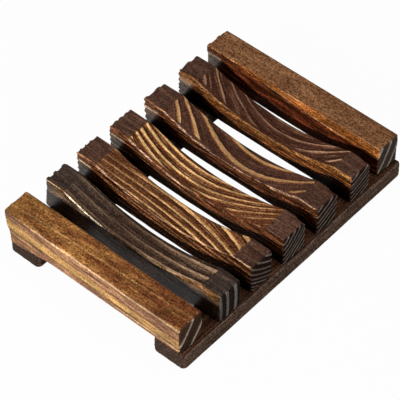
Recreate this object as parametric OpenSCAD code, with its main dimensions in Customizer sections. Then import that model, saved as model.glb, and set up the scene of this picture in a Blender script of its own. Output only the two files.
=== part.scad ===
// Slatted wooden soap dish. Seven bars lie across two rails and are nailed to them from below.
// The two end bars keep their full height. The five slats between them are hollowed on top, so
// that together they cradle a bar of soap, and water drains through the gaps.
// X runs across the bars from front to back, Y runs along them, and Z points up from the surface.

/* [Slats] */
// Length of every bar, from end grain to end grain
slat_l = 79.2; // [66:0.1:100]
// Usual width of a bar
slat_w = 10.4; // [8:0.1:14]
// Height of a bar above the rails
slat_h = 12.6; // [10.5:0.1:18]
// Usual gap between two bars
slat_gap = 7; // [5.5:0.1:10]
// Radius of a bar's eased long edges
slat_edge_r = 1; // [0.3:0.1:2]
// Radius of a bar's eased upright corners
slat_corner_r = 0.5; // [0.2:0.1:2]

/* [Soap hollow] */
// Length of the hollow, measured at the top of a slat
hollow_l = 62.5; // [50:0.5:65]
// Depth of the hollow at the middle of a slat
hollow_d = 5.8; // [2:0.1:7]

/* [Rails] */
// Width of a rail
rail_w = 12.4; // [8:0.1:16]
// Height of a rail
rail_h = 7.4; // [6:0.1:10]
// Length of rail that shows past each end bar
rail_lap = 0.2; // [0.2:0.1:3]
// How far the right rail stands out past the end of the front bar
rail_offset = 1.8; // [0:0.1:3]
// Radius of a rail's eased long edges
rail_edge_r = 0.8; // [0.3:0.1:2]
// Radius of a rail's eased upright corners
rail_corner_r = 1; // [0.2:0.1:2]

/* [Nails] */
// Diameter of a nail's shank
nail_d = 1.2; // [0.8:0.1:1.8]
// Length of a nail, from the head's underside face to the tip
nail_l = 15; // [12:0.5:16]
// Length of a nail's point
nail_point_l = 1.8; // [1:0.1:3]
// Diameter of the flat at the very tip
nail_tip_d = 0.2; // [0.1:0.05:0.4]
// Diameter of a nail's head
nail_head_d = 2.4; // [2:0.1:3.5]
// Thickness of a nail's head
nail_head_h = 0.5; // [0.3:0.1:1]
// How deep a head is set into the underside of its rail
nail_set = 0.6; // [0.2:0.1:1.5]
// Clearance all round a nail in its hole
nail_clear = 0.02; // [0.01:0.01:0.05]

/* [Hidden] */
$fn = 96;

// Colours of the charred and lacquered wood, and of the nails
honey_wood = "#93602f";
brown_wood = "#74502f";
dark_wood = "#4c3222";
rail_wood = "#3d2f27";
nail_steel = "#8c8a86";

// The bars from front to back. They were set by hand, so each has its own small shift along the
// rails, its own width, and its own slide towards the right rail.
slat_drift_shares = [0, 0.165, 0.02, -0.065, -0.025, 0.12, 0];
slat_width_shares = [1.02, 0.99, 1, 1.065, 1.005, 0.955, 1.01];
slat_slide_shares = [0, 0.5, 0.3, 0.45, 0.45, 0.3, 0.15];
bar_count = len(slat_drift_shares);
front_bar_no = 0;
back_bar_no = bar_count - 1;

// Overrun of every cut past the surface that it opens
cut_over = 1;

// Layout that follows from the sizes
slat_pitch = slat_w + slat_gap;
rail_l = back_bar_no * slat_pitch + slat_w + 2 * rail_lap;
overall_w = slat_l + rail_offset;
overall_h = rail_h + slat_h;
right_rail_y = -overall_w / 2 + rail_w / 2;
left_rail_y = overall_w / 2 - rail_offset - rail_w / 2;
rail_ys = [right_rail_y, left_rail_y];

// Radius of the round hollow, from its chord and its depth
hollow_r = (pow(hollow_l / 2, 2) + pow(hollow_d, 2)) / (2 * hollow_d);

// Place and size of one bar, counted from the front
function bar_x(i) = (i - back_bar_no / 2) * slat_pitch + slat_drift_shares[i] * slat_gap;
function bar_y(i) = rail_offset / 2 - slat_slide_shares[i] * rail_offset;
function bar_w(i) = slat_w * slat_width_shares[i];

// Rectangle with round corners, centred
module eased_rectangle(w, h, r) {
    square([w - 2 * r, h], center = true);
    square([w, h - 2 * r], center = true);
    for (x = [-1, 1], y = [-1, 1]) {
        translate([x * (w / 2 - r), y * (h / 2 - r)]) circle(r = r);
    }
}

// Sawn stick that lies along Y on Z = 0, with eased long edges and eased upright corners
module stick(l, w, h, edge_r, corner_r) {
    intersection() {
        translate([0, l / 2, h / 2]) rotate([90, 0, 0]) linear_extrude(height = l) {
            eased_rectangle(w, h, edge_r);
        }
        linear_extrude(height = h) eased_rectangle(w, l, corner_r);
    }
}

// One nail, upright, with its head's lower face on Z = 0
module nail() {
    cylinder(d = nail_head_d, h = nail_head_h);
    cylinder(d = nail_d, h = nail_l - nail_point_l);
    translate([0, 0, nail_l - nail_point_l]) {
        cylinder(d1 = nail_d, d2 = nail_tip_d, h = nail_point_l);
    }
}

// Room for a nail: its sunk head, which opens downwards, and its shank
module nail_hole() {
    translate([0, 0, -cut_over]) {
        cylinder(d = nail_head_d + 2 * nail_clear, h = cut_over + nail_set + nail_head_h + nail_clear);
    }
    cylinder(d = nail_d + 2 * nail_clear, h = nail_set + nail_l + nail_clear);
}

// Rail that runs along X under all the bars, with a nail hole under each of them
module rail(y) {
    difference() {
        translate([0, y, 0]) rotate([0, 0, 90]) {
            stick(rail_l, rail_w, rail_h, rail_edge_r, rail_corner_r);
        }
        for (i = [0 : back_bar_no]) {
            translate([bar_x(i), y, 0]) nail_hole();
        }
    }
}

// Bar at full height, with a blind hole for each of its two nails
module bar(i) {
    difference() {
        translate([bar_x(i), bar_y(i), rail_h]) {
            stick(slat_l, bar_w(i), slat_h, slat_edge_r, slat_corner_r);
        }
        for (y = rail_ys) {
            translate([bar_x(i), y, 0]) nail_hole();
        }
    }
}

// Bar with the round hollow cut across its top
module slat(i) {
    difference() {
        bar(i);
        translate([bar_x(i), bar_y(i), overall_h + hollow_r - hollow_d]) rotate([0, 90, 0]) {
            cylinder(r = hollow_r, h = bar_w(i) + 2 * cut_over, center = true);
        }
    }
}

// The two nails that hold one bar
module bar_nails(i) {
    color(nail_steel) for (y = rail_ys) {
        translate([bar_x(i), y, nail_set]) nail();
    }
}

module right_rail() { color(rail_wood) rail(right_rail_y); }

module left_rail() { color(rail_wood) rail(left_rail_y); }

module front_bar() { color(honey_wood) bar(front_bar_no); }

module back_bar() { color(brown_wood) bar(back_bar_no); }

module dark_slat(i) { color(dark_wood) slat(i); }

right_rail();
left_rail();
front_bar();
dark_slat(1);  // slat_1
dark_slat(2);  // slat_2
dark_slat(3);  // slat_3
dark_slat(4);  // slat_4
dark_slat(5);  // slat_5
back_bar();
bar_nails(front_bar_no);  // front_bar_nails
bar_nails(1);  // slat_1_nails
bar_nails(2);  // slat_2_nails
bar_nails(3);  // slat_3_nails
bar_nails(4);  // slat_4_nails
bar_nails(5);  // slat_5_nails
bar_nails(back_bar_no);  // back_bar_nails
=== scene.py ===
"""Looks of a slatted soap dish of charred, brushed and lacquered softwood.

Every stick of wood is one closed mesh that is worked out from its CAD box. One field of growth
rings per stick, cylinders round a leaning pith, gives both the brushed relief and the colour bands,
so the bands on the hollowed tops, the sides and the end grain belong to the same rings.
Lengths are millimetres, unless a name ends in _m.
"""

import logging
import math
from dataclasses import dataclass, field, replace
from enum import Enum
from typing import Any

import bpy
import numpy as np
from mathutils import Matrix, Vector


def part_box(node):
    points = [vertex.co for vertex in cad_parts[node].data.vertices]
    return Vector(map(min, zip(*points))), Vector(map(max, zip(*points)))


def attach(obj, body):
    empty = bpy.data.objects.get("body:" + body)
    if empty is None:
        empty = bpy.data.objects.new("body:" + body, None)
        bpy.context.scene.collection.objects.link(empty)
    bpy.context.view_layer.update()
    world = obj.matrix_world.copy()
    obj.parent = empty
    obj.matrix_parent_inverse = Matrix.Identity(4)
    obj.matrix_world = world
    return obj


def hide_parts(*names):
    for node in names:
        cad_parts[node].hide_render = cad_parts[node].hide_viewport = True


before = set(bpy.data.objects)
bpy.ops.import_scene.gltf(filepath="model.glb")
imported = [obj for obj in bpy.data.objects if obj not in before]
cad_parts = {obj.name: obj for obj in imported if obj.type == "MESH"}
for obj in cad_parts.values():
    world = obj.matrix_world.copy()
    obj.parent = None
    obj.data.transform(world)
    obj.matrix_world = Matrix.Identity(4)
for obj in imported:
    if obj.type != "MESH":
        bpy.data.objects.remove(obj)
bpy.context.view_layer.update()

MM = 0.001
BODY = "root"
LOG = logging.getLogger("soap_dish")

# The photograph is square, and its lens is a long one
PHOTO_SIDE_PX = 400
FOCAL_PX = 2296.8
SENSOR_WIDTH = 36.0

# Places along a stick, from its right end to its left, where its bands and its looks are set
BAND_PLACES = (-30, -12, 12, 30)
LOOK_PLACES = (-36, -20, 0, 20, 36)

# Angles across half of a rounded edge where cell corners lie, and how far from the hollow's lip
# the lines of cell corners on both sides of it lie
BEND_DEG = (45, 35, 24, 12)
LIP_INSIDE = 0.02
LIP_OUTSIDE = 0.06

# Distances from an end where the flare and the worn corner begin, and where they are complete
FLARE_BEGINS, FLARE_FULL = 20, 4
CORNER_BEGINS, CORNER_FULL = 5, 1.5

# How far from an end its brushing begins, and how far below the top the left end begins to slant
END_BRUSHED = 3
SLANT_BEGINS = 2.0

# Place along a stick where its foot begins to hang, and the way it moves for each unit down
HANG_BEGINS = 16
HANG_WAY = (0.2, 0.4, 1)

# How squarely a normal has to point for a zone to begin and to be complete
BRUSHED_FACING = (0.5, 0.9)
ZONE_FACING = (0.6, 0.85)
FRONT_FACING = (0.3, 0.6)
HOLLOW_FACING = (0.35, 0.75)
EDGE_FACING = (0.6, 0.2)
RIDGE_FACING = -0.4

# Where masks begin and are full: distances past a line or from it, and depths that are enough
LIP_FADE = (0.1, -0.1)
STRIP_FADE = (0.3, -0.3)
STRIP_DEPTHS = (0.1, 0.4)
RIDGE_FADE = (0.45, 0.1)
RIDGE_DEPTHS = (0.5, 1.5)
SHEEN_FADE = (-1.5, 1.5)
SHEEN_DEPTHS = (0.8, 2.8)

# How far a painted highlight line's ends fade beyond the places where it starts and stops, and inside them
FADE_BEYOND = 3
FADE_INSIDE = 1

# How much less the flats beside the hollow are brushed, and how bright a painted highlight line is
FLAT_SPARED = 0.7
HIGHLIGHT_LINE_LEVEL = 2.5

# Normal of the plane that takes off a bevelled edge
BEVEL_NORMAL = (-0.98, 0, 0.2)

# Slope of the line above which the left end shines with lacquer and a painted sheen, and how far from the
# end it starts
SHEEN_SLOPE = 1.73
SHEEN_INSET = 1.1

# Pit round a nail's head in the underside of a rail
PIT_RADIUS = 1.25
PIT_DEPTH = 0.95
PIT_SLOPE = 0.2
UNDERSIDE = 1

# Offset in the noise from one stick to the next
NOISE_STEP = 7.3


class Along(Enum):
    """Axis that a stick's grain follows."""

    BARS = "Y"
    RAILS = "X"


def linear(code: str) -> tuple[float, float, float, float]:
    """Turns a display colour into the linear one that a shader takes.

    Each channel c becomes c / 12.92 up to 0.04045, and above it ((c + 0.055) / 1.055) to the 2.4.

    Args:
        code: Six hexadecimal digits after a hash sign.

    Returns:
        Red, green, blue and an alpha of one.
    """
    parts = [int(code[k:k + 2], 16) / 255 for k in (1, 3, 5)]
    red, green, blue = (c / 12.92 if c <= 0.04045 else ((c + 0.055) / 1.055) ** 2.4 for c in parts)
    return red, green, blue, 1.0


def smooth_step(low: float, high: float, values: np.ndarray) -> np.ndarray:
    """Goes from 0 at low to 1 at high along three t squared minus two t cubed, either way round."""
    t = np.clip((values - low) / (high - low), 0, 1)
    return t * t * (3 - 2 * t)


class Noise:
    """Smooth seeded values between -1 and 1, on a lattice of random numbers that repeats."""

    SIDE = 48

    def __init__(self, seed: int) -> None:
        """Fills the lattice.

        Args:
            seed: Number that picks the values.
        """
        self.table = np.random.default_rng(seed).uniform(-1, 1, (self.SIDE,) * 3)

    def __call__(self, points: np.ndarray, pitch: tuple[float, float, float]) -> np.ndarray:
        """Blends the eight lattice values round each point with smooth weights.

        Args:
            points: Rows of x, y and z.
            pitch: Lattice spacing along each axis.

        Returns:
            One value per row.
        """
        scaled = points / np.array(pitch)
        cell = np.floor(scaled).astype(int)
        part = scaled - cell
        part = part * part * (3 - 2 * part)
        total = np.zeros(len(points))
        for corner in np.ndindex(2, 2, 2):
            weight = np.prod(np.where(corner, part, 1 - part), axis=1)
            x, y, z = ((cell + corner) % self.SIDE).T
            total += weight * self.table[x, y, z]
        return total


@dataclass(frozen=True)
class Unevenness:
    """One kind of noise on a stick: how much it does, its lattice spacing and its own offset."""

    amount: float
    pitch: tuple[float, float, float]
    shift: float = 0

    def at(self, points: np.ndarray, noise: Noise) -> np.ndarray:
        """The noise at each point, between -1 and 1."""
        return noise(points + self.shift, self.pitch)

    def wave(self, points: np.ndarray, noise: Noise) -> np.ndarray:
        """The amount times the noise."""
        return self.amount * self.at(points, noise)

    def sunk(self, points: np.ndarray, noise: Noise) -> np.ndarray:
        """The amount times one plus the noise, so that it is never below 0."""
        return self.amount * (1 + self.at(points, noise))


WANDER_PITCH = (9, 26, 9)
RIPPLE = Unevenness(0.06, (1.6, 7, 1.6))
BRUSHING = Unevenness(0.25, (1.1, 3, 1.1))
DENTS = Unevenness(0.07, (7, 21, 7), 31)
GROOVES = Unevenness(0.03, (0.45, 9, 0.45), 57)
PITTING = Unevenness(0.02, (0.7, 0.7, 0.7), 83)
NICKS = Unevenness(0.1, (1.1, 3.2, 1.1), 11)
STRIP_EDGE = Unevenness(0.3, (2, 6, 0.8), 19)
LINE_WAVER = Unevenness(0.1, (2, 30, 9), 71)
LIP_EDGE = Unevenness(0.3, (0.9, 30, 9), 41)


@dataclass(frozen=True)
class Rings:
    """Growth rings of one stick: cylinders round a straight pith that leans along the stick.

    Places are measured from the middle of the stick's top, x across, y along and z up. RISE and
    FALL are where a band of no width begins and ends in its ring.
    """

    RISE = (0.4, 0.55)
    FALL = (0.47, 0.57)
    UNEVEN = 0.22
    UNEVEN_TURN = 2.4
    MORE_RINGS = 25

    pith_x: float
    pith_z: float
    lean_x: float
    lean_z: float
    late_radii: tuple[float, ...]
    wander: float = 0.25

    def radii(self) -> np.ndarray:
        """Radii of all latewood bands: the named ones, carried on both ways in uneven steps.

        A step is the nearest named one times one plus a part of the sine of its number.

        Returns:
            The radii from the smallest to the largest.
        """
        named = np.array(self.late_radii)
        more = 1 + self.UNEVEN * np.sin(self.UNEVEN_TURN * np.arange(1, self.MORE_RINGS + 1))
        outer = named[-1] + np.cumsum(more) * (named[-1] - named[-2])
        inner = named[0] - np.cumsum(more) * (named[1] - named[0])
        return np.concatenate([inner[::-1], named, outer])

    def count(self, points: np.ndarray, noise: Noise) -> np.ndarray:
        """Counts rings from the pith outwards.

        The distance from the pith, wandering a little, is read off between the radii of the bands.
        A band's middle has a whole number and a half.

        Args:
            points: Rows of x, y and z in the stick.
            noise: Source of the wandering.

        Returns:
            The ring count of each point.
        """
        x, y, z = points.T
        away = np.hypot(x - self.pith_x - self.lean_x * y, z - self.pith_z - self.lean_z * y)
        away = away + self.wander * noise(points, WANDER_PITCH) + RIPPLE.wave(points, noise)
        radii = self.radii()
        return np.interp(away, radii, np.arange(len(radii)) + 0.5)

    @classmethod
    def late(cls, count: np.ndarray, share: float) -> np.ndarray:
        """Latewood mask of a count: a soft rise towards the band and a sharper fall after it.

        Args:
            count: Ring counts.
            share: Width of a band as a share of its ring.

        Returns:
            1 in the bands and 0 between them.
        """
        part = count - np.floor(count)
        rise = smooth_step(cls.RISE[0] - share / 2, cls.RISE[1] - share / 2, part)
        fall = smooth_step(cls.FALL[0] + share / 2, cls.FALL[1] + share / 2, part)
        return rise * (1 - fall)


class Shader:
    """Short way to add nodes to a node tree and link them."""

    def __init__(self, tree: bpy.types.NodeTree) -> None:
        """Keeps the tree.

        Args:
            tree: Material or group tree to fill.
        """
        self.tree = tree

    def add(self, kind: str, inputs: dict | None = None, **settings: Any) -> bpy.types.Node:
        """Adds one node.

        Args:
            kind: The node's type name.
            inputs: Socket name or number to a value or to the socket that feeds it.
            settings: Properties of the node.

        Returns:
            The new node.
        """
        made = self.tree.nodes.new(kind)
        for name, value in settings.items():
            setattr(made, name, value)
        for key, value in (inputs or {}).items():
            if isinstance(value, bpy.types.NodeSocket):
                self.tree.links.new(value, made.inputs[key])
            else:
                made.inputs[key].default_value = value
        return made

    def math(self, operation: str, first: Any, second: Any = 0.5, third: Any = 0.5,
             clamp: bool = False) -> Any:
        """Adds a Math node and returns its output."""
        inputs = {0: first, 1: second, 2: third}
        return self.add("ShaderNodeMath", inputs, operation=operation, use_clamp=clamp).outputs[0]

    def times(self, first: Any, second: Any) -> Any:
        """Multiplies two values."""
        return self.math("MULTIPLY", first, second)

    def plus(self, first: Any, second: Any) -> Any:
        """Adds two values."""
        return self.math("ADD", first, second)

    def minus(self, first: Any, second: Any) -> Any:
        """Takes the second value from the first."""
        return self.math("SUBTRACT", first, second)

    def larger(self, first: Any, second: Any) -> Any:
        """Takes the larger of two values."""
        return self.math("MAXIMUM", first, second)

    def line(self, share: Any, first: float, last: float) -> Any:
        """Runs straight from the first number at a share of 0 to the last at 1."""
        return self.math("MULTIPLY_ADD", share, last - first, first)

    def mix(self, share: Any, first: Any, second: Any, blend: str = "MIX") -> Any:
        """Adds a colour mix and returns its output."""
        inputs = {0: share, 6: first, 7: second}
        return self.add("ShaderNodeMix", inputs, data_type="RGBA", blend_type=blend).outputs[2]

    def span(self, value: Any, low: Any, high: Any, first: float = 0.0, last: float = 1.0) -> Any:
        """Adds a smooth Map Range from low and high to first and last, and returns its output."""
        inputs = {0: value, 1: low, 2: high, 3: first, 4: last}
        return self.add("ShaderNodeMapRange", inputs, interpolation_type="SMOOTHSTEP").outputs[0]

    def noise(self, vector: Any, scale: float, detail: float, roughness: float = 0.55) -> Any:
        """Adds a noise texture and returns its value."""
        inputs = {"Vector": vector, "Scale": scale, "Detail": detail, "Roughness": roughness}
        return self.add("ShaderNodeTexNoise", inputs).outputs[0]


def new_material(name: str) -> tuple[bpy.types.Material, Shader]:
    """Starts an empty material.

    Args:
        name: The material's name.

    Returns:
        The material, and the Shader that fills it.
    """
    made = bpy.data.materials.new(name)
    made.use_nodes = True
    made.node_tree.nodes.clear()
    return made, Shader(made.node_tree)


def new_group(name: str, inputs: dict[str, str],
              outputs: dict[str, str]) -> tuple[bpy.types.NodeTree, Any, Any, Shader]:
    """Starts a shader node group.

    Args:
        name: The group's name.
        inputs: Socket name to socket type.
        outputs: Socket name to socket type.

    Returns:
        The group, the sockets that bring its inputs, the sockets that take its outputs, and a Shader.
    """
    tree = bpy.data.node_groups.new(name, "ShaderNodeTree")
    for label, kind in inputs.items():
        tree.interface.new_socket(name=label, in_out="INPUT", socket_type=kind)
    for label, kind in outputs.items():
        tree.interface.new_socket(name=label, in_out="OUTPUT", socket_type=kind)
    source = tree.nodes.new("NodeGroupInput")
    target = tree.nodes.new("NodeGroupOutput")
    return tree, source.outputs, target.inputs, Shader(tree)


FLOAT = "NodeSocketFloat"
VECTOR = "NodeSocketVector"


class SharedEffects:
    """Node groups that every wood finish uses: growth bands, brushed fibre, and worn edges with painted
    highlights.
    """

    def __init__(self) -> None:
        """Builds the three groups once."""
        self.bands = self._bands()
        self.fibre = self._fibre()
        self.wear_and_highlight = self._wear_and_highlight()

    @staticmethod
    def _bands() -> bpy.types.NodeTree:
        """Bands of latewood, the glow before them, the dark rim after them and fine ring lines.

        The ring count's fraction is compared with a window round one half. The fine lines are a
        noise over the count and the place along the grain.

        Returns:
            The group.
        """
        tree, given, wanted, shader = new_group(
            "growth_bands",
            dict.fromkeys(("Ring", "Share", "Ragged", "Reach", "Onset", "Fade"), FLOAT) | {"Vector": VECTOR},
            dict.fromkeys(("Late", "Glow", "Rim", "Lines"), FLOAT))
        along = shader.add("ShaderNodeSeparateXYZ", {0: given["Vector"]}).outputs[1]

        def over_rings(per_ring: float, per_mm: float) -> Any:
            """Noise over the ring count and the place along the grain.

            Args:
                per_ring: How far the noise moves on for each ring.
                per_mm: How far it moves on for each millimetre along the grain.

            Returns:
                The socket of the noise.
            """
            spot = shader.add("ShaderNodeCombineXYZ", {
                0: shader.times(given["Ring"], per_ring), 1: shader.times(along, per_mm)}).outputs[0]
            return shader.noise(spot, 1.0, 3.0, 0.6)

        push = shader.times(shader.minus(over_rings(5.0, 0.35), 0.5), given["Ragged"])
        part = shader.math("FRACT", shader.plus(given["Ring"], push))

        def change(place: Any, before: float, after: float, first: float, last: float) -> Any:
            """Smooth change from a little before a place in the ring to a little after it."""
            return shader.span(part, shader.minus(place, before), shader.plus(place, after), first, last)

        half = shader.times(given["Share"], 0.5)
        start = shader.minus(0.5, half)
        stop = shader.plus(0.5, half)
        rise = change(start, 0.06, 0.05, 0.0, 1.0)
        fall = change(stop, 0.04, 0.04, 1.0, 0.0)
        first = shader.minus(start, given["Reach"])
        early = shader.span(part, first, shader.plus(first, given["Onset"]))
        after = change(stop, 0.0, 0.06, 1.0, 0.0)
        begun = change(stop, 0.02, 0.05, 0.0, 1.0)
        dark = shader.plus(stop, 0.05)
        gone = shader.span(part, dark, shader.plus(dark, given["Fade"]), 1.0, 0.0)
        tree.links.new(shader.times(rise, fall), wanted["Late"])
        tree.links.new(shader.times(early, after), wanted["Glow"])
        tree.links.new(shader.times(begun, gone), wanted["Rim"])
        tree.links.new(over_rings(6.5, 0.07), wanted["Lines"])
        return tree

    @staticmethod
    def _fibre() -> bpy.types.NodeTree:
        """Streaks and short flecks along the grain, fine grit and broad clouds.

        Each is a noise whose vector is pressed along the grain, so that it comes out drawn out.

        Returns:
            The group.
        """
        tree, given, wanted, shader = new_group(
            "brushed_fibre",
            {"Vector": VECTOR},
            dict.fromkeys(("Streak", "Fleck", "Grit", "Cloud"), FLOAT))

        def pressed(across: float, along: float) -> Any:
            """The vector scaled across and along the grain."""
            inputs = {0: given["Vector"], 1: (across, along, across)}
            return shader.add("ShaderNodeVectorMath", inputs, operation="MULTIPLY").outputs[0]

        streak = shader.noise(pressed(1.7, 0.12), 1.0, 3.0, 0.65)
        fleck = shader.noise(pressed(2.4, 0.6), 1.0, 2.0)
        grit = shader.noise(pressed(2.0, 1.5), 1.0, 3.0, 0.7)
        cloud = shader.noise(pressed(0.36, 0.08), 1.0, 3.0, 0.6)
        for socket, name in ((streak, "Streak"), (shader.span(fleck, 0.56, 0.68), "Fleck"),
                             (grit, "Grit"), (cloud, "Cloud")):
            tree.links.new(socket, wanted[name])
        return tree

    @staticmethod
    def _wear_and_highlight() -> bpy.types.NodeTree:
        """Mask of rubbed edges and painted highlight lines: the edge attribute, broken up by clouds and
        streaks.

        Returns:
            The group.
        """
        tree, given, wanted, shader = new_group(
            "rubbed_edges_and_highlights",
            dict.fromkeys(("Edge", "Cloud", "Streak", "Amount"), FLOAT),
            {"Mask": FLOAT})
        broken = shader.times(shader.plus(given["Cloud"], given["Streak"]), 0.5)
        reach = shader.times(given["Edge"], shader.span(broken, 0.38, 0.58, 0.3, 1.0))
        mask = shader.math("MULTIPLY", shader.span(reach, 0.3, 0.9), given["Amount"], clamp=True)
        tree.links.new(mask, wanted["Mask"])
        return tree


@dataclass(frozen=True)
class WoodFinish:
    """Charred, brushed and lacquered softwood: the colours of its zones and how they show.

    A colour is given as it is displayed. Late and end shares are the width of a latewood band in its
    ring, on the faces and on the ends. Bands and rims say how strongly they show, and speckle and
    streak how much the brightness varies. The sides turn to the dark foot colour between two depths
    below the top. Worn is the colour of real wear and of painted highlights on the edges, and painted
    sheen is a painted reflection on the left end's front.
    """

    slot: str
    top: str
    top_pale: str
    hollow: str
    glow: str
    band: str
    side: str
    side_streak: str
    # Darker colour that the sides turn to towards the foot
    dark_foot: str
    end: str
    end_band: str
    # Colour of the edges: real wear, and painted highlights along the edges and highlight lines
    worn: str
    rubbed: str
    # Painted sheen: a painted reflection on the front of the left end
    painted_sheen: str = "#ae8a66"
    along: Along = Along.BARS
    late_share: float = 0.2
    end_share: float = 0.24
    top_bands: float = 0.04
    side_bands: float = 0.2
    end_bands: float = 0.9
    fine_lines: float = 0.3
    rim_depth: float = 0.5
    rim_fade: float = 0.29
    ragged: float = 0.14
    glow_reach: float = 0.24
    glow_onset: float = 0.08
    side_rims: float = 0.15
    speckle: float = 0.85
    flat_speckle: float = 0.55
    side_speckle: float = 1.0
    pale_share: float = 0.3
    wear_and_highlight_amount: float = 0.5
    dark_foot_from: float = 8.0
    dark_foot_to: float = 14.0
    top_streak: float = 1.0
    roughness: float = 0.42
    side_streak_power: float = 2.2
    top_gloss: float = 0.12
    side_gloss: float = 0.9
    edge_gloss: float = 0.5


class WoodMaterial:
    """Material of one stick, mixed from noises, from the bands and from the masks on its mesh."""

    def __init__(self, name: str, finish: WoodFinish, effects: SharedEffects, shift: float) -> None:
        """Adds the noises, the values on the mesh and the bands that the other methods mix.

        Args:
            name: The material's name.
            finish: The wood's colours and how they show.
            effects: The shared node groups.
            shift: Offset in the noise, so that no two sticks look alike.
        """
        self.finish = finish
        self.made, self.shader = new_material(name)
        shader = self.shader
        place = shader.add("ShaderNodeTexCoord").outputs["Object"]
        turn = math.pi / 2 if finish.along is Along.RAILS else 0.0
        mapped = shader.add("ShaderNodeMapping", {
            "Vector": place, "Scale": (1 / MM,) * 3, "Rotation": (0, 0, turn),
            "Location": (shift, 3 * shift, 0)}).outputs[0]
        self.streak, self.fleck, self.grit, self.cloud = shader.add(
            "ShaderNodeGroup", {"Vector": mapped}, node_tree=effects.fibre).outputs
        ring, self.below, self.clear, self.light, self.strip, self.lacquer = (
            shader.add("ShaderNodeAttribute", attribute_name=attribute).outputs["Fac"]
            for attribute in ("ring", "below", "clear", "light", "strip", "lacquer"))
        masks = shader.add("ShaderNodeAttribute", attribute_name="masks").outputs
        self.in_hollow, self.on_edge, self.on_end = shader.add(
            "ShaderNodeSeparateColor", {0: masks["Color"]}).outputs
        self.on_side = masks["Alpha"]
        late_share = shader.line(self.clear, finish.late_share / 2, finish.late_share)
        self.late, self.glow, self.rim, self.lines = shader.add("ShaderNodeGroup", {
            "Ring": ring, "Share": shader.span(self.on_end, 0.0, 1.0, late_share, finish.end_share),
            "Vector": mapped, "Ragged": finish.ragged, "Reach": finish.glow_reach,
            "Onset": finish.glow_onset, "Fade": finish.rim_fade}, node_tree=effects.bands).outputs
        self.strength = shader.times(self.clear, shader.span(self.cloud, 0.3, 0.55, 0.55, 1.0))
        self.wear_and_highlight = shader.add("ShaderNodeGroup", {
            "Edge": self.on_edge, "Cloud": self.cloud, "Streak": self.streak,
            "Amount": finish.wear_and_highlight_amount}, node_tree=effects.wear_and_highlight).outputs["Mask"]

    def lay(self, share: Any, under: Any, code: str) -> Any:
        """Lays a display colour over the colour under it by a share."""
        return self.shader.mix(share, under, linear(code))

    def top(self) -> Any:
        """Colour of the top: flats with paler clouds, and in the hollow glowing rings with pale bands.

        Returns:
            The socket of the colour.
        """
        shader, finish = self.shader, self.finish
        paler = shader.plus(self.cloud, shader.times(self.clear, 0.25))
        paler = shader.math("MULTIPLY", shader.span(paler, 0.5, 0.8), finish.pale_share, clamp=True)
        flat = self.lay(paler, linear(finish.top), finish.top_pale)
        flat = self.lay(shader.times(self.late, finish.top_bands), flat, finish.band)
        carved = self.lay(shader.times(self.glow, self.strength), linear(finish.hollow), finish.glow)
        fine = shader.times(shader.span(self.lines, 0.53, 0.66), finish.fine_lines)
        for share in (fine, self.late):
            carved = self.lay(shader.times(share, self.strength), carved, finish.band)
        return shader.mix(self.in_hollow, flat, carved)

    def side(self) -> Any:
        """Colour of the sides: streaks along the grain, the bands, and a darker colour towards the foot.

        Returns:
            The socket of the colour.
        """
        shader, finish = self.shader, self.finish
        drawn = shader.times(shader.span(self.lines, 0.42, 0.66), 0.85)
        side = self.lay(drawn, linear(finish.side), finish.side_streak)
        side = self.lay(shader.times(self.glow, finish.side_bands), side, finish.glow)
        side = self.lay(shader.times(self.late, finish.side_bands), side, finish.band)
        deep = shader.plus(self.below, shader.span(self.cloud, 0.3, 0.7, 1.2, -1.2))
        return self.lay(shader.span(deep, finish.dark_foot_from, finish.dark_foot_to), side, finish.dark_foot)

    def zones(self) -> Any:
        """Colours of all zones over each other: top, sides, painted sheen, rubbed strip, end grain and
        edges.

        Returns:
            The socket of the colour.
        """
        shader, finish = self.shader, self.finish
        end = self.lay(shader.times(self.late, finish.end_bands), linear(finish.end), finish.end_band)
        # Painted reflection on the left end's front, where the lacquer attribute is near full
        painted_sheen = shader.times(shader.span(self.lacquer, 0.8, 1.0), shader.times(self.on_side, 0.8))
        rubbed = shader.times(self.strip, shader.span(self.cloud, 0.25, 0.5, 0.6, 1.0))
        colour = shader.mix(self.on_side, self.top(), self.side())
        colour = self.lay(painted_sheen, colour, finish.painted_sheen)
        colour = self.lay(rubbed, colour, finish.rubbed)
        colour = shader.mix(self.on_end, colour, end)
        # The worn colour paints wear and painted highlights on the edges and along the highlight lines
        return self.lay(self.wear_and_highlight, colour, finish.worn)

    def speckle(self) -> Any:
        """Factor of the grit and the flecks, calmer on the pale bands and on the end grain.

        Returns:
            The socket of the factor, near one.
        """
        shader, finish = self.shader, self.finish
        amount = shader.span(self.in_hollow, 0.0, 1.0, finish.flat_speckle, finish.speckle)
        amount = shader.span(self.on_side, 0.0, 1.0, amount, finish.side_speckle)
        calm = shader.larger(shader.times(self.late, self.in_hollow), self.on_end)
        amount = shader.times(amount, shader.span(calm, 0.0, 1.0, 1.0, 0.45))
        speck = shader.math("MULTIPLY_ADD", shader.span(self.grit, 0.3, 0.7, -1.0, 1.0), amount, 1.0)
        return shader.times(speck, shader.span(self.fleck, 0.0, 1.0, 1.0, 0.6))

    def tone(self) -> Any:
        """Factor of the brightness: speckle, streaks to a power, dark rims and the stick's light.

        Returns:
            The socket of the factor.
        """
        shader, finish = self.shader, self.finish
        drawn = shader.times(shader.span(self.lines, 0.36, 0.64, 0.66, 1.28),
                             shader.span(self.streak, 0.34, 0.66, 0.72, 1.24))
        power = shader.line(self.on_side, finish.top_streak, finish.side_streak_power)
        drawn = shader.math("POWER", drawn, power)
        shown = shader.math("MULTIPLY_ADD", self.on_side, finish.side_rims, 0.05)
        shown = shader.mix(self.in_hollow, shown, self.strength)
        rim = shader.times(shader.times(self.rim, shown), -finish.rim_depth)
        tone = shader.times(shader.times(self.speckle(), drawn), shader.plus(rim, 1.0))
        return shader.times(tone, shader.mix(self.on_end, self.light, (1.0, 1.0, 1.0, 1.0)))

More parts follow.
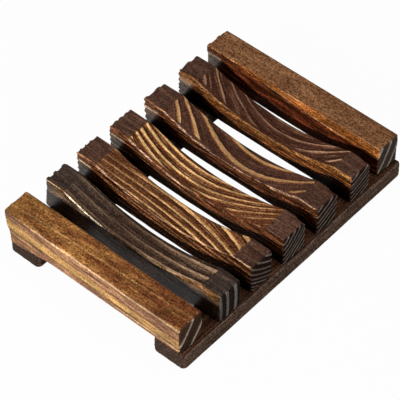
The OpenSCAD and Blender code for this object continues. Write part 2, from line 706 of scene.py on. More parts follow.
    def gloss(self) -> Any:
        """Weight of the lacquer: by zone, none on the end grain, and more on rubbed upper edges.

        Returns:
            The socket of the weight.
        """
        shader, finish = self.shader, self.finish
        gloss = shader.times(shader.line(self.on_side, finish.top_gloss, finish.side_gloss), self.lacquer)
        gloss = shader.times(gloss, shader.span(self.on_end, 0.0, 1.0, 1.0, 0.0))
        bright = shader.times(
            shader.span(self.on_edge, 0.3, 0.9),
            shader.span(self.streak, 0.4, 0.6, 0.3 * finish.edge_gloss, finish.edge_gloss))
        bright = shader.times(bright, shader.span(self.below, 3.0, 5.0, 1.0, 0.0))
        return shader.larger(gloss, bright)

    def height(self) -> Any:
        """Height of the fine bumps: streaks, grit and ring lines, less the flecks.

        Returns:
            The socket of the height.
        """
        height = 0.0
        for share, socket in ((0.6, self.streak), (0.4, self.grit), (0.5, self.lines), (-0.25, self.fleck)):
            height = self.shader.plus(height, self.shader.times(socket, share))
        return height

    def build(self) -> bpy.types.Material:
        """Mixes everything into one surface.

        Returns:
            The material.
        """
        shader, finish, tone = self.shader, self.finish, self.tone()
        grey = shader.add("ShaderNodeCombineColor", {0: tone, 1: tone, 2: tone}).outputs[0]
        colour = shader.mix(1.0, self.zones(), grey, "MULTIPLY")
        dull = shader.span(self.grit, 0.3, 0.7, finish.roughness - 0.1, finish.roughness + 0.12)
        bump = shader.add("ShaderNodeBump", {
            "Height": self.height(), "Strength": 0.7, "Distance": 0.2 * MM})
        surface = shader.add("ShaderNodeBsdfPrincipled", {
            "Base Color": colour, "Roughness": dull, "Normal": bump.outputs[0],
            "Specular IOR Level": 0.0, "Coat Weight": self.gloss(), "Coat Roughness": 0.3})
        shader.add("ShaderNodeOutputMaterial", {"Surface": surface.outputs[0]})
        return self.made


@dataclass
class Stick:
    """One sawn stick with eased edges, brushed faces and its own growth rings.

    Clear, light and strip run along the stick from its right end to its left. They say how clearly
    the bands show, how bright the wood is, and how far down its front the rubbed strip goes. A painted
    highlight line has a depth below the top, a reach up and down, and the places where it starts and
    stops. Edge wear and highlight says how strongly the edges show wear and painted highlights. Values
    named after an end say how far it is brushed in, slants in and reaches out. A rail's right end is the
    one at the front bar.
    """

    node: str
    rings: Rings
    finish: WoodFinish
    seed: int
    clear: tuple[float, float, float, float] = (1.0, 1.0, 1.0, 1.0)
    light: tuple[float, float, float, float, float] = (1.0, 1.0, 1.0, 1.0, 1.0)
    strip: tuple[float, float, float, float, float] = (0.0, 0.0, 0.0, 0.0, 0.0)
    bare_front: float = 0.0
    lacquer: float = 0.08
    mirror: float = 1.0
    edge_r: float = 0.7
    end_r: float = 0.5
    cell: float = 0.24
    cell_along: float = 0.4
    swell: float = 0.32
    face_relief: float = 0.1
    right_end_relief: float = 0.3
    left_end_relief: float = 0.75
    left_end_slant: float = 0.0
    right_reach: float = 0.0
    left_reach: float = 0.55
    # Painted highlight lines along the front: depth below the top, reach, start and stop
    painted_highlight_lines: tuple[tuple[float, float, float, float], ...] = ()
    worn_corner: float = 0.0
    # How strongly the edges show wear and painted highlights
    edge_wear_and_highlight: float = 1.0
    bevelled: bool = False
    bulge: float = 0.0
    widen: float = 0.0
    widen_back: float = 0.0
    flare: float = 0.0
    hang: float = 0.0
    nails: tuple[float, ...] = ()
    hollow_l: float = 0.0
    hollow_d: float = 0.0
    size: np.ndarray = field(init=False)
    middle: np.ndarray = field(init=False)
    noise: Noise = field(init=False)

    def __post_init__(self) -> None:
        """Reads the stick's size and place from its CAD node, and fills its noise."""
        low, high = (np.array(corner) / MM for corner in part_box(self.node))
        self.middle = np.array([(low[0] + high[0]) / 2, (low[1] + high[1]) / 2, high[2]])
        self.size = high - low
        if self.finish.along is Along.RAILS:
            self.size = self.size[[1, 0, 2]]
        self.noise = Noise(self.seed)

    def hollow_radius(self) -> float:
        """Radius of the round hollow: half chord squared plus depth squared, over twice the depth."""
        return ((self.hollow_l / 2) ** 2 + self.hollow_d ** 2) / (2 * self.hollow_d)

    def drop(self, along: np.ndarray) -> np.ndarray:
        """Depth of the round hollow: the circle's height above its chord, and 0 on the flats.

        Args:
            along: Places along the stick.

        Returns:
            The depth at each place.
        """
        if not self.hollow_d:
            return np.zeros_like(along)
        radius = self.hollow_radius()
        inside = np.clip(np.abs(along), 0, self.hollow_l / 2)
        return self.hollow_d - radius + np.sqrt(radius ** 2 - inside ** 2)

    def tilt(self, along: np.ndarray) -> np.ndarray:
        """How much the hollow's normal leans along the stick for each unit that it points up.

        On a circle that is the place along the stick over the height above the circle's middle.

        Args:
            along: Places along the stick.

        Returns:
            The lean at each place, and 0 on the flats.
        """
        if not self.hollow_d:
            return np.zeros_like(along)
        half = self.hollow_l / 2
        lean = -along / np.sqrt(self.hollow_radius() ** 2 - np.clip(along, -half, half) ** 2)
        return np.where(np.abs(along) < half, lean, 0)

    def stations(self, length: float, easing: float, cell: float) -> np.ndarray:
        """Places of the cell corners along one axis, closer together where the edges are round.

        On a rounded edge their distance from the end is the easing times one less the tangent of
        each bend angle. On a flat they are even, apart from a pair at each lip of the hollow.

        Args:
            length: The box's length along the axis.
            easing: How far the rounding reaches in from the ends.
            cell: Length of a cell on the flat.

        Returns:
            The places, measured from the middle.
        """
        bend = easing * (1 - np.tan(np.radians(BEND_DEG)))
        inner = length / 2 - easing
        flat = np.linspace(-inner, inner, max(2, round(2 * inner / cell)) + 1)
        if self.hollow_d and length == self.size[1]:
            lip = self.hollow_l / 2
            keep = np.abs(np.abs(flat) - lip) > 2 * LIP_OUTSIDE
            lips = [-lip - LIP_OUTSIDE, -lip + LIP_INSIDE, lip - LIP_INSIDE, lip + LIP_OUTSIDE]
            flat = np.sort(np.concatenate([flat[keep], lips]))
        return np.concatenate([bend - length / 2, flat, length / 2 - bend[::-1]])

    def lattice(self) -> tuple[np.ndarray, np.ndarray]:
        """Surface of a box cut into cells, with every corner shared by the cells round it.

        Returns:
            The corners on the plain box, and four corner numbers for each outward face.
        """
        easing = (self.edge_r, self.end_r, self.edge_r)
        cells = (self.cell, self.cell_along, self.cell)
        lines = [self.stations(*each) for each in zip(self.size, easing, cells)]
        counts = [len(line) for line in lines]
        quads = []
        for axis in range(3):
            first, second = (k for k in range(3) if k != axis)
            rows, columns = np.meshgrid(np.arange(counts[first] - 1), np.arange(counts[second] - 1),
                                        indexing="ij")
            for last in (False, True):
                corners = []
                for step_first, step_second in ((0, 0), (1, 0), (1, 1), (0, 1)):
                    index = [np.full_like(rows, counts[axis] - 1 if last else 0)] * 3
                    index[first], index[second] = rows + step_first, columns + step_second
                    corners.append(np.ravel_multi_index(index, counts).ravel())
                if last == (axis == 1):
                    corners.reverse()
                quads.append(np.stack(corners, axis=1))
        used, quads = np.unique(np.concatenate(quads), return_inverse=True)
        index = np.unravel_index(used, counts)
        points = np.stack([line[k] for line, k in zip(lines, index)], axis=1)
        points[:, 2] -= self.size[2] / 2
        return points, quads.reshape(-1, 4)

    def shape(self, points: np.ndarray) -> tuple[np.ndarray, np.ndarray]:
        """Rounds the box's edges and sinks its top into the hollow.

        A corner is pulled onto an ellipsoid round the nearest point of a smaller box. The front is
        then pulled out in proportion to the distance from the back, and its foot swells out along
        the middle, by one less the fourth power of the place along the stick, and hangs a little
        near the left end. The top is lowered by the hollow's depth, and the sides are pressed
        together.

        Args:
            points: Corners on the plain box.

        Returns:
            The shaped points and their outward normals.
        """
        width, length, height = self.size
        reach = np.array([self.edge_r, self.end_r, self.edge_r])
        centre = np.array([0, 0, -height / 2])
        inner = np.clip(points - centre, -(self.size / 2 - reach), self.size / 2 - reach)
        out = (points - centre - inner) / reach
        out /= np.linalg.norm(out, axis=1, keepdims=True)
        shaped = centre + inner + out * reach
        share = np.clip((shaped[:, 2] + height - self.edge_r) / (height - 2 * self.edge_r), 0, 1)
        across = np.clip(0.5 - shaped[:, 0] / width, 0, 1)
        foot = across * -shaped[:, 2] / height
        flared = smooth_step(FLARE_BEGINS - length / 2, FLARE_FULL - length / 2, points[:, 1])
        shaped[:, 0] += self.widen_back * (1 - across) - self.widen * across
        shaped[:, 0] -= self.flare * across * flared
        shaped[:, 0] -= self.bulge * foot * (1 - (2 * shaped[:, 1] / length) ** 4)
        hanging = self.hang * foot ** 2 * smooth_step(HANG_BEGINS, length / 2, shaped[:, 1])
        shaped -= hanging[:, None] * HANG_WAY
        shaped[:, 2] -= self.drop(shaped[:, 1]) * share
        normals = out / reach
        normals[:, 1] += self.tilt(shaped[:, 1]) * np.clip(out[:, 2], 0, 1) / self.edge_r
        return shaped, normals / np.linalg.norm(normals, axis=1, keepdims=True)

    def relief(self, points: np.ndarray, normals: np.ndarray, late: np.ndarray) -> np.ndarray:
        """How far each point moves when the stick is brushed and worn.

        Soft wood between the bands is brushed out along the normal, with broad dents, fine grooves
        and nicks on the edges. On the end grain it is brushed out along the stick, edges included.

        Args:
            points: Shaped points.
            normals: Their normals.
            late: Their latewood mask.

        Returns:
            A move for each point.
        """
        half = self.size[1] / 2
        away = np.abs(points[:, 1])
        on_end = smooth_step(*BRUSHED_FACING, np.abs(normals[:, 1]))
        flat = smooth_step(*BRUSHED_FACING, normals[:, 2]) * (away > self.hollow_l / 2)
        soft = (1 - late) * (1 - BRUSHING.amount + BRUSHING.wave(points, self.noise))
        depth = soft * self.face_relief * (1 - on_end) * (1 - FLAT_SPARED * flat) - self.swell
        depth += DENTS.sunk(points, self.noise)
        depth += GROOVES.sunk(points, self.noise) * (1 - on_end)
        depth += PITTING.sunk(points, self.noise) * on_end
        depth += NICKS.amount * self.on_edge(normals) * np.clip(NICKS.at(points, self.noise), 0, 1)
        move = -normals * depth[:, None]
        near = smooth_step(half - END_BRUSHED, half - self.end_r / 2, away)
        left = points[:, 1] > 0
        cut = np.where(left, self.left_end_relief, self.right_end_relief) * soft
        cut += left * self.left_end_slant * smooth_step(SLANT_BEGINS, self.size[2], -points[:, 2])
        cut -= np.where(left, self.left_reach, self.right_reach)
        move[:, 1] -= np.sign(points[:, 1]) * near * cut
        return move

    def strip_foot(self, along: np.ndarray) -> np.ndarray:
        """Depth of the rubbed strip below the front top edge, at each place along the stick."""
        return np.interp(along, LOOK_PLACES, self.strip)

    def planed(self, points: np.ndarray) -> np.ndarray:
        """Planes off the front top edge of a bevelled stick.

        Points past a steep plane through the strip's foot are pushed back onto it along its normal.

        Args:
            points: Shaped points.

        Returns:
            The planed points.
        """
        if not self.bevelled:
            return points
        slope = np.array(BEVEL_NORMAL)
        edge = np.array([-self.size[0] / 2, 0, 0])
        past = np.clip((points - edge) @ slope + slope[2] * self.strip_foot(points[:, 1]), 0, None)
        return points - past[:, None] * slope

    def rounded(self, points: np.ndarray) -> np.ndarray:
        """Rounds the back top corner near the right end.

        Points outside a circle in the corner are pulled onto it.

        Args:
            points: Shaped points.

        Returns:
            The rounded points.
        """
        if not self.worn_corner:
            return points
        end = -self.size[1] / 2
        centre = np.array([self.size[0] / 2 - self.worn_corner, 0, -self.worn_corner])
        out = np.clip((points - centre) * (1, 0, 1), 0, None)
        away = np.linalg.norm(out, axis=1)
        past = np.clip(away - self.worn_corner, 0, None) * ((out[:, 0] > 0) & (out[:, 2] > 0))
        near = smooth_step(end + CORNER_BEGINS, end + CORNER_FULL, points[:, 1])
        return points - out * (past * near / np.maximum(away, 1))[:, None]

    def pitted(self, points: np.ndarray) -> np.ndarray:
        """Sinks a round pit into the underside round each nail, and keeps the stick off its neighbours.

        Points near a nail rise to just above the lower face of its head. No point goes below the
        CAD box, apart from a foot that hangs, and a rail's points don't go above the box either.

        Args:
            points: Worn points.

        Returns:
            The points with pits.
        """
        low, high = -self.size[2] - self.hang, 0.0 if self.nails else math.inf
        heights = np.clip(points[:, 2], low, high)
        for place in self.nails:
            away = np.hypot(points[:, 0], points[:, 1] - place)
            pit = PIT_DEPTH * smooth_step(PIT_RADIUS + PIT_SLOPE, PIT_RADIUS, away)
            heights = np.where(heights < low + UNDERSIDE, np.maximum(heights, low + pit), heights)
        return np.column_stack([points[:, :2], heights])

    @staticmethod
    def on_edge(normals: np.ndarray) -> np.ndarray:
        """1 where a normal points between two faces, and 0 where it points along an axis."""
        return np.clip((1 - np.abs(normals).max(axis=1)) / (1 - math.sqrt(0.5)), 0, 1)

    def painted_highlights(self, points: np.ndarray, below: np.ndarray) -> np.ndarray:
        """Painted highlights along the foot of a bevel and along the highlight lines.

        A highlight line is full up to a third of its reach, and fades where it starts and stops.

        Args:
            points: Shaped points.
            below: Their depths below the top.

        Returns:
            A level for each point, above one where a line is at its brightest.
        """
        along, foot = points[:, 1], self.strip_foot(points[:, 1])
        waver = LINE_WAVER.wave(points, self.noise)
        ridge = smooth_step(*RIDGE_FADE, np.abs(below - foot)) * self.bevelled
        ridge = ridge * smooth_step(*RIDGE_DEPTHS, foot)
        for depth, reach, start, stop in self.painted_highlight_lines:
            line = smooth_step(reach, reach / 3, np.abs(below - depth + waver))
            run = smooth_step(start - FADE_BEYOND, start + FADE_INSIDE, along)
            run = run * smooth_step(stop + FADE_BEYOND, stop - FADE_INSIDE, along)
            ridge = np.maximum(ridge, HIGHLIGHT_LINE_LEVEL * line * run)
        return ridge

    def masks(self, points: np.ndarray, normals: np.ndarray, below: np.ndarray) -> np.ndarray:
        """Where the material shows the hollow, worn edges with painted highlights, end grain and sides.

        Args:
            points: Shaped points.
            normals: Their normals.
            below: Their depths below the top.

        Returns:
            Rows of the four masks, in that order.
        """
        sideways, lengthwise = np.abs(normals[:, 0]), np.abs(normals[:, 1])
        past_lip = np.abs(points[:, 1] + LIP_EDGE.wave(points, self.noise)) - self.hollow_l / 2
        # Edges show wear and painted highlights, and the painted highlight lines join them
        edges = self.edge_wear_and_highlight * self.on_edge(normals) * smooth_step(*EDGE_FACING, lengthwise)
        return np.stack([
            smooth_step(*LIP_FADE, past_lip) * smooth_step(*HOLLOW_FACING, normals[:, 2]),
            np.maximum(edges, self.painted_highlights(points, below) * (normals[:, 0] < RIDGE_FACING)),
            smooth_step(*ZONE_FACING, lengthwise),
            smooth_step(*ZONE_FACING, sideways)], axis=1)

    def values(self, points: np.ndarray, normals: np.ndarray, below: np.ndarray,
               count: np.ndarray) -> dict[str, np.ndarray]:
        """Numbers that the material reads at each point.

        The left end's front gets full lacquer and a painted sheen past a line that rises from the foot as
        it runs from the end, at a slope of about 60 degrees.

        Args:
            points: Shaped points.
            normals: Their normals.
            below: Their depths below the top.
            count: Their ring counts.

        Returns:
            Attribute name to one number per point.
        """
        across, along = points[:, 0], points[:, 1]
        foot = self.strip_foot(along)
        front = smooth_step(*FRONT_FACING, -normals[:, 0])
        strip = smooth_step(*STRIP_FADE, below - foot + STRIP_EDGE.wave(points, self.noise))
        past = self.size[2] - below - SHEEN_SLOPE * (self.size[1] / 2 - SHEEN_INSET - along)
        mirror = self.mirror * front * smooth_step(*SHEEN_FADE, past) * smooth_step(*SHEEN_DEPTHS, below)
        clear = np.interp(along, BAND_PLACES, self.clear)
        if self.bare_front:
            clear = clear * smooth_step(0, 1, across + self.size[0] / 2 - self.bare_front)
        return {
            "ring": count,
            "below": below,
            "strip": strip * front * smooth_step(*STRIP_DEPTHS, foot),
            "clear": clear,
            "light": np.interp(along, LOOK_PLACES, self.light),
            "lacquer": self.lacquer + (1 - self.lacquer) * mirror}

    def mesh(self, points: np.ndarray, quads: np.ndarray, values: dict[str, np.ndarray],
             masks: np.ndarray) -> bpy.types.Object:
        """Puts arrays into a new mesh object.

        Args:
            points: Rows of x, y and z in metres.
            quads: Rows of four corner numbers.
            values: Attribute name to one number per point.
            masks: Rows of four masks, kept as a colour attribute.

        Returns:
            The object, linked to the scene.
        """
        data = bpy.data.meshes.new(self.node + "_brushed")
        data.from_pydata(points, [], quads)
        for name, numbers in values.items():
            kept = data.attributes.new(name, "FLOAT", "POINT")
            kept.data.foreach_set("value", numbers.astype(np.float32))
        colours = data.attributes.new("masks", "FLOAT_COLOR", "POINT")
        colours.data.foreach_set("color", masks.astype(np.float32).ravel())
        data.shade_smooth()
        made = bpy.data.objects.new(self.node + "_brushed", data)
        bpy.context.scene.collection.objects.link(made)
        return made

    def build(self, effects: SharedEffects) -> bpy.types.Object:
        """Makes the stick, dresses it and puts it in its CAD node's place.

        Args:
            effects: The shared node groups.

        Returns:
            The finished object.
        """
        points, quads = self.lattice()
        shaped, normals = self.shape(points)
        shaped = self.planed(self.rounded(shaped))
        count = self.rings.count(shaped, self.noise)
        late = self.rings.late(count, self.finish.late_share)
        worn = self.pitted(shaped + self.relief(shaped, normals, late))
        if self.finish.along is Along.RAILS:
            worn = worn[:, [1, 0, 2]] * (1, -1, 1)
        below = np.clip(-shaped[:, 2] - self.drop(shaped[:, 1]), 0, None)
        made = self.mesh((worn + self.middle) * MM, quads, self.values(shaped, normals, below, count),
                         self.masks(shaped, normals, below))
        wood = WoodMaterial(self.node + "_wood", self.finish, effects, NOISE_STEP * self.seed)
        made.data.materials.append(wood.build())
        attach(made, BODY)
        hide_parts(self.node)
        LOG.info("%s: %d faces", made.name, len(quads))
        return made


HONEY = WoodFinish(
    slot="honey_wood", top="#6a3e22", top_pale="#956637", hollow="#663a20", glow="#b98c57",
    band="#c0975d", side="#8a6148", side_streak="#aa7f58", dark_foot="#6e4628", end="#48352a",
    end_band="#b09c8a", worn="#cfa67a", rubbed="#9c7254", late_share=0.12, end_share=0.18,
    top_bands=0.35, side_bands=1.0, glow_onset=0.04, side_rims=0.9, rim_fade=0.06, flat_speckle=0.8,
    side_speckle=0.5, pale_share=1.0, wear_and_highlight_amount=1.0, dark_foot_from=20, dark_foot_to=30, top_streak=0.7,
    side_streak_power=1.0, side_gloss=0.2, edge_gloss=0.3)
BROWN = WoodFinish(
    slot="brown_wood", top="#714b31", top_pale="#8c6545", hollow="#714b31", glow="#7c5434",
    band="#8a6038", side="#46200f", side_streak="#5e2b16", dark_foot="#1a0c06", end="#4a3e36",
    end_band="#a09488", worn="#c89a6c", rubbed="#9c5c2a", end_share=0.22, top_bands=0.15,
    side_bands=0.04, flat_speckle=0.75, side_speckle=0.9, pale_share=0.6, wear_and_highlight_amount=0.7,
    dark_foot_from=11, dark_foot_to=16, top_streak=0.5, side_streak_power=1.8)
GREY_SLAT = WoodFinish(
    slot="dark_wood", top="#3a2e28", top_pale="#423530", hollow="#38281f", glow="#68503c",
    band="#ae8e70", side="#44342a", side_streak="#5a4838", dark_foot="#3c2c22", end="#2a2321",
    end_band="#7c746c", worn="#dcc49c", rubbed="#6c4622", painted_sheen="#6a4e30", late_share=0.3,
    end_share=0.34, glow_reach=0.35, glow_onset=0.12, dark_foot_from=2, dark_foot_to=5, rim_depth=0.3,
    wear_and_highlight_amount=0.8, edge_gloss=0.3)
DARK_SLAT = WoodFinish(
    slot="dark_wood", top="#4c342a", top_pale="#563b2f", hollow="#57321f", glow="#84522c",
    band="#d8ab74", side="#3a1c0f", side_streak="#663a21", dark_foot="#140905", end="#291c17",
    end_band="#72665e", worn="#c49c7a", rubbed="#75472a", late_share=0.24, end_share=0.32,
    dark_foot_from=5.5, dark_foot_to=9.5, wear_and_highlight_amount=0.6, edge_gloss=0.4)
BROAD_SLAT = replace(
    DARK_SLAT, hollow="#52352a", side_streak="#744226", glow="#7c4826", band="#cc9e6c",
    glow_reach=0.12, glow_onset=0.05, fine_lines=0.1, late_share=0.22, top_streak=0.7, speckle=0.65)
RED_SLAT = replace(
    DARK_SLAT, hollow="#44291e", glow="#573626", band="#c29676", side="#52280f", side_streak="#865224",
    rubbed="#80542c", late_share=0.16, dark_foot_from=4, dark_foot_to=7.5, speckle=0.6, top_streak=0.7)
RAIL = WoodFinish(
    slot="rail_wood", top="#40271b", top_pale="#5a3c2a", hollow="#40271b", glow="#5a4030",
    band="#6a5240", side="#584539", side_streak="#6a5548", dark_foot="#504035", end="#42352e",
    end_band="#5c4c40", worn="#7c6656", rubbed="#4c3a30", along=Along.RAILS, top_bands=0.3,
    side_bands=0.1, end_bands=0.08, flat_speckle=0.8, side_speckle=0.9, wear_and_highlight_amount=0.4,
    dark_foot_from=5, dark_foot_to=9, side_streak_power=0.5, side_gloss=0.15)


@dataclass
class SoapDish:
    """The seven bars and two rails that are remade here, and the nails that keep their solids.

    Each stick has the rings that its lines in the photograph call for.
    """

    hollow_l: float = 62.5
    broad_hollow_l: float = 61.6
    hollow_d: float = 5.8

    @staticmethod
    def front_bar() -> Stick:
        """The plain honey brown bar at the front, whose foot hangs over the left rail's end.

        Returns:
            The bar.
        """
        return Stick(
            "front_bar", Rings(-47.05, 24, -0.07, -0.06, (46, 52.3, 58.6, 65), 0.12), HONEY, 1,
            clear=(0.0, 0.25, 0.6, 1.0), light=(0.88, 1.02, 1.1, 1.02, 0.82), lacquer=0.8,
            mirror=0.0, edge_r=0.9, widen=0.5, left_end_relief=0.3, left_reach=0.6,
            left_end_slant=2.0, hang=2.2, edge_wear_and_highlight=0.5,
            painted_highlight_lines=((0.75, 0.42, -60, 26), (10.5, 0.6, -60, -10)))

    def slats(self) -> list[Stick]:
        """The five hollowed slats.

        Returns:
            The slats from the front to the back.
        """
        hollow = {"hollow_l": self.hollow_l, "hollow_d": self.hollow_d}
        broad_hollow = {"hollow_l": self.broad_hollow_l, "hollow_d": self.hollow_d}
        return [
            Stick("slat_1", Rings(-60, -6, 0.015, 0, (52.2, 55.8, 59.1, 63.3, 67)), GREY_SLAT, 2,
                  clear=(1.0, 0.4, 0.1, 0.2), light=(0.88, 1.05, 1.0, 0.95, 1.0),
                  strip=(3.2, 0.5, 0.0, 0.0, 1.8), edge_r=1.1, lacquer=0.79, bulge=1.4,
                  worn_corner=1.6, left_end_slant=-0.9, hang=1.0, edge_wear_and_highlight=0.65,
                  painted_highlight_lines=((0.4, 0.18, 15, 29), (0.35, 0.12, 34, 38)), **hollow),
            Stick("slat_2", Rings(28, 28.4, 0.137, -0.044, (36.3, 38.9, 41.6, 43.6, 45.5, 47)),
                  DARK_SLAT, 3, clear=(1.0, 0.95, 0.7, 0.35), light=(0.8, 1.08, 0.9, 1.0, 1.0),
                  strip=(0.0, 0.0, 0.0, 0.0, 1.5), bulge=1.1, left_reach=0.75, left_end_relief=0.55,
                  left_end_slant=0.4, painted_highlight_lines=((0.4, 0.4, 26, 30),), **hollow),
            Stick("slat_3", Rings(-21.7, 20.4, -0.009, 0.096, (27.2, 29.4, 31.5, 33.1, 35.2, 37, 39.2)),
                  DARK_SLAT, 4, clear=(0.3, 0.75, 1.1, 1.8), light=(1.3, 1.25, 1.12, 0.97, 1.0),
                  strip=(0.0, 0.0, 0.0, 0.0, 1.5), bare_front=0.7, worn_corner=2.4, left_reach=0.75,
                  left_end_relief=0.55, edge_wear_and_highlight=0.65, left_end_slant=0.5,
                  painted_highlight_lines=((0.4, 0.4, 22, 30), (0.5, 0.4, 5, 12)), **hollow),
            Stick("slat_4", Rings(-16.4, 28.8, 0.049, -0.045, (31.8, 34.3, 37.1, 39.9, 41.9, 44.3, 46.8)),
                  BROAD_SLAT, 5, clear=(0.65, 0.8, 0.95, 1.0), light=(0.87, 1.06, 0.75, 0.85, 0.95),
                  strip=(0.0, 0.0, 0.0, 0.0, 1.5), bare_front=0.5, worn_corner=2.4, left_reach=0.6,
                  left_end_slant=0.6, painted_highlight_lines=((0.4, 0.4, 8, 23), (0.5, 0.4, -37, -20)),
                  **broad_hollow),
            Stick("slat_5",
                  Rings(-18.8, 39.8, 0.012, -0.039, (45.3, 47.7, 49.2, 51.1, 53.1, 55.1, 57.1, 59.1)),
                  RED_SLAT, 6, clear=(1.0, 0.45, 0.3, 0.6), light=(0.95, 1.15, 1.0, 0.92, 1.0),
                  strip=(1.5, 1.0, 1.0, 1.5, 3.0), bare_front=0.8, worn_corner=2.0, edge_wear_and_highlight=0.65,
                  **hollow),
        ]

    @staticmethod
    def back_bar() -> Stick:
        """The medium brown bar at the back, planed along its front top edge.

        Returns:
            The bar.
        """
        return Stick(
            "back_bar", Rings(-40, 16, -0.01, 0, (39.5, 44.1, 49, 53.5)), BROWN, 7,
            clear=(0.6, 0.5, 0.6, 0.4), light=(0.88, 0.92, 1.0, 1.0, 1.0),
            strip=(4.2, 3.6, 2.3, 0.8, 0.0), bevelled=True, bulge=1.0, widen_back=0.15,
            right_reach=-0.6, left_reach=0.75, left_end_relief=0.55)

    @staticmethod
    def rails() -> list[Stick]:
        """The two dark rails under the bars, with a pit round each nail.

        Returns:
            The right rail and the left rail.
        """
        nails = [sum(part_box(name)[k][0] for k in (0, 1)) / 2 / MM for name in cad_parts
                 if name.endswith("_nails")]
        shared = {"edge_r": 1.5, "end_r": 1.8, "face_relief": 0.06, "right_end_relief": 0.06,
                  "left_end_relief": 0.06, "left_reach": 0.3, "right_reach": 0.5, "mirror": 0.0,
                  "cell": 0.25, "cell_along": 0.25, "nails": tuple(nails)}
        return [
            Stick("right_rail", Rings(-30, 20, 0.01, 0, (28, 31, 34, 37)), RAIL, 8, flare=1.3, **shared),
            Stick("left_rail", Rings(25, 30, -0.01, 0, (30, 33, 36, 39)), RAIL, 9, flare=0.5,
                  widen_back=0.5, **shared),
        ]

    def sticks(self) -> list[Stick]:
        """Every stick of wood, from the front to the back and then the rails."""
        return [self.front_bar(), *self.slats(), self.back_bar(), *self.rails()]

    @staticmethod
    def nails() -> bpy.types.Material:
        """Drawn wire: bright steel with fine scratches and a little dull oxide.

        Returns:
            The material, which every nail node gets.
        """
        made, shader = new_material("nail_wire")
        place = shader.add("ShaderNodeTexCoord").outputs["Object"]
        scaled = shader.add("ShaderNodeMapping", {"Vector": place, "Scale": (1 / MM,) * 3}).outputs[0]
        cloud = shader.noise(scaled, 0.9, 3.0)
        scratch = shader.noise(scaled, 7.0, 2.0)
        colour = shader.mix(shader.span(cloud, 0.45, 0.65), linear("#b4b1ab"), linear("#77706a"))
        dull = shader.span(scratch, 0.3, 0.7, 0.28, 0.5)
        bump = shader.add("ShaderNodeBump", {"Height": scratch, "Strength": 0.3, "Distance": 0.03 * MM})
        surface = shader.add("ShaderNodeBsdfPrincipled", {
            "Base Color": colour, "Metallic": 1.0, "Roughness": dull, "Normal": bump.outputs[0]})
        shader.add("ShaderNodeOutputMaterial", {"Surface": surface.outputs[0]})
        for name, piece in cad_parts.items():
            if name.endswith("_nails"):
                piece.data.materials.clear()
                piece.data.materials.append(made)
                LOG.info("%s: dressed in %s", name, made.name)
        return made


@dataclass(frozen=True)
class Lamp:
    """Round lamp: the way towards it, its width and its level on a surface that faces it."""

    name: str
    toward: tuple[float, float, float]
    size_m: float
    level: float


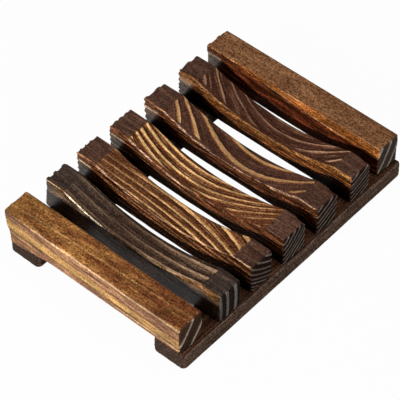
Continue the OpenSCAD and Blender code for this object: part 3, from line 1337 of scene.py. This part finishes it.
@dataclass
class Studio:
    """Plain pale floor, soft lamps and the camera at the photograph's angle."""

    target: tuple[float, float, float] = (-4.39, -0.55, 10.1)
    heading_deg: float = 48.8
    height_deg: float = 48.73
    distance: float = 795.8
    sky_level: float = 0.07
    ceiling_level: float = 0.25
    floor_white: float = 0.97
    floor_colour: str = "#bcbcbc"
    floor_mirrored: float = 0.4
    floor_reach_m: float = 3.0
    floor_rise_m: float = -0.0001
    lamp_distance_m: float = 0.9
    lamps: tuple[Lamp, ...] = (
        Lamp("key", (-0.83, 0.05, 0.5), 0.05, 1.0),
        Lamp("overhead", (0.1, -0.1, 1.0), 0.6, 0.5),
        Lamp("fill", (0.2, -1.0, 0.3), 0.5, 0.2),
    )

    def camera(self) -> bpy.types.Object:
        """Sets up the camera.

        It looks at the target from its heading and height. The focal length is the photograph's in
        pixels, over its side, times the sensor's width.

        Returns:
            The camera.
        """
        heading, height = math.radians(self.heading_deg), math.radians(self.height_deg)
        ahead = Vector((math.sin(heading) * math.cos(height), math.cos(heading) * math.cos(height),
                        -math.sin(height)))
        data = bpy.data.cameras.new("camera")
        data.sensor_width = SENSOR_WIDTH
        data.lens = FOCAL_PX / PHOTO_SIDE_PX * SENSOR_WIDTH
        made = bpy.data.objects.new("camera", data)
        made.location = (Vector(self.target) - ahead * self.distance) * MM
        made.rotation_euler = ahead.to_track_quat("-Z", "Y").to_euler()
        bpy.context.scene.collection.objects.link(made)
        bpy.context.scene.camera = made
        return made

    def lamp(self, lamp: Lamp) -> bpy.types.Object:
        """Adds a disk lamp, whose power gives the wanted level at the dish.

        A disk of power P gives P over pi times distance squared, and a white surface that faces it
        then shows that over pi.

        Args:
            lamp: What to add.

        Returns:
            The lamp.
        """
        data = bpy.data.lights.new(lamp.name, "AREA")
        data.shape = "DISK"
        data.size = lamp.size_m
        data.energy = lamp.level * math.pi ** 2 * self.lamp_distance_m ** 2
        made = bpy.data.objects.new(lamp.name, data)
        toward = Vector(lamp.toward).normalized()
        made.location = toward * self.lamp_distance_m
        made.rotation_euler = (-toward).to_track_quat("-Z", "Y").to_euler()
        bpy.context.scene.collection.objects.link(made)
        return made

    def sky(self) -> bpy.types.World:
        """Even soft light for the object, with a white backdrop for the rays that show it.

        The camera sees plain white. Mirror and transmission rays see the backdrop, which is white at
        the horizon and dims overhead, as the room above a studio table does.

        Returns:
            The world.
        """
        world = bpy.data.worlds.new("sky")
        world.use_nodes = True
        world.node_tree.nodes.clear()
        shader = Shader(world.node_tree)
        path = shader.add("ShaderNodeLightPath").outputs
        height = shader.add("ShaderNodeSeparateXYZ", {
            0: shader.add("ShaderNodeTexCoord").outputs["Generated"]}).outputs[2]
        backdrop = shader.larger(shader.span(height, 0.0, 0.2, 1.0, self.ceiling_level),
                                 path["Is Camera Ray"])
        soft = shader.add("ShaderNodeBackground", {"Color": (1, 1, 1, 1), "Strength": self.sky_level})
        shown = shader.add("ShaderNodeBackground", {"Color": (1, 1, 1, 1), "Strength": backdrop})
        mirrored = shader.larger(path["Is Glossy Ray"], path["Is Transmission Ray"])
        mixed = shader.add("ShaderNodeMixShader", {
            0: shader.larger(path["Is Camera Ray"], mirrored),
            1: soft.outputs[0], 2: shown.outputs[0]})
        shader.add("ShaderNodeOutputWorld", {0: mixed.outputs[0]})
        bpy.context.scene.world = world
        return world

    def paint(self) -> bpy.types.Material:
        """White of the floor: mostly plain to the camera, partly to mirrors, and else matt grey.

        Returns:
            The material.
        """
        made, shader = new_material("floor_white")
        plain = shader.add("ShaderNodeEmission", {"Color": (1, 1, 1, 1), "Strength": 1.0})
        shaded = shader.add("ShaderNodeBsdfDiffuse", {"Color": linear(self.floor_colour)})
        path = shader.add("ShaderNodeLightPath").outputs
        mirrored = shader.larger(path["Is Glossy Ray"], path["Is Transmission Ray"])
        share = shader.larger(shader.times(path["Is Camera Ray"], self.floor_white),
                              shader.times(mirrored, self.floor_mirrored))
        mixed = shader.add("ShaderNodeMixShader", {0: share, 1: shaded.outputs[0], 2: plain.outputs[0]})
        shader.add("ShaderNodeOutputMaterial", {"Surface": mixed.outputs[0]})
        return made

    def floor(self) -> bpy.types.Object:
        """Adds the floor, which keeps the object's soft shadow.

        Returns:
            The floor.
        """
        reach, rise = self.floor_reach_m, self.floor_rise_m
        corners = [(reach * x, reach * y, rise) for x, y in ((-1, -1), (1, -1), (1, 1), (-1, 1))]
        data = bpy.data.meshes.new("floor")
        data.from_pydata(corners, [], [(0, 1, 2, 3)])
        made = bpy.data.objects.new("floor", data)
        bpy.context.scene.collection.objects.link(made)
        data.materials.append(self.paint())
        return made

    def build(self) -> None:
        """Sets up everything round the object."""
        self.camera()
        for lamp in self.lamps:
            self.lamp(lamp)
        self.sky()
        self.floor()
        bpy.context.scene.view_settings.view_transform = "Standard"


def main() -> None:
    """Builds the studio and the dish in order."""
    logging.basicConfig(level=logging.INFO, format="%(name)s %(message)s")
    Studio().build()
    dish = SoapDish()
    effects = SharedEffects()
    for stick in dish.sticks():
        stick.build(effects)
    dish.nails()


if __name__ == "__main__":
    main()
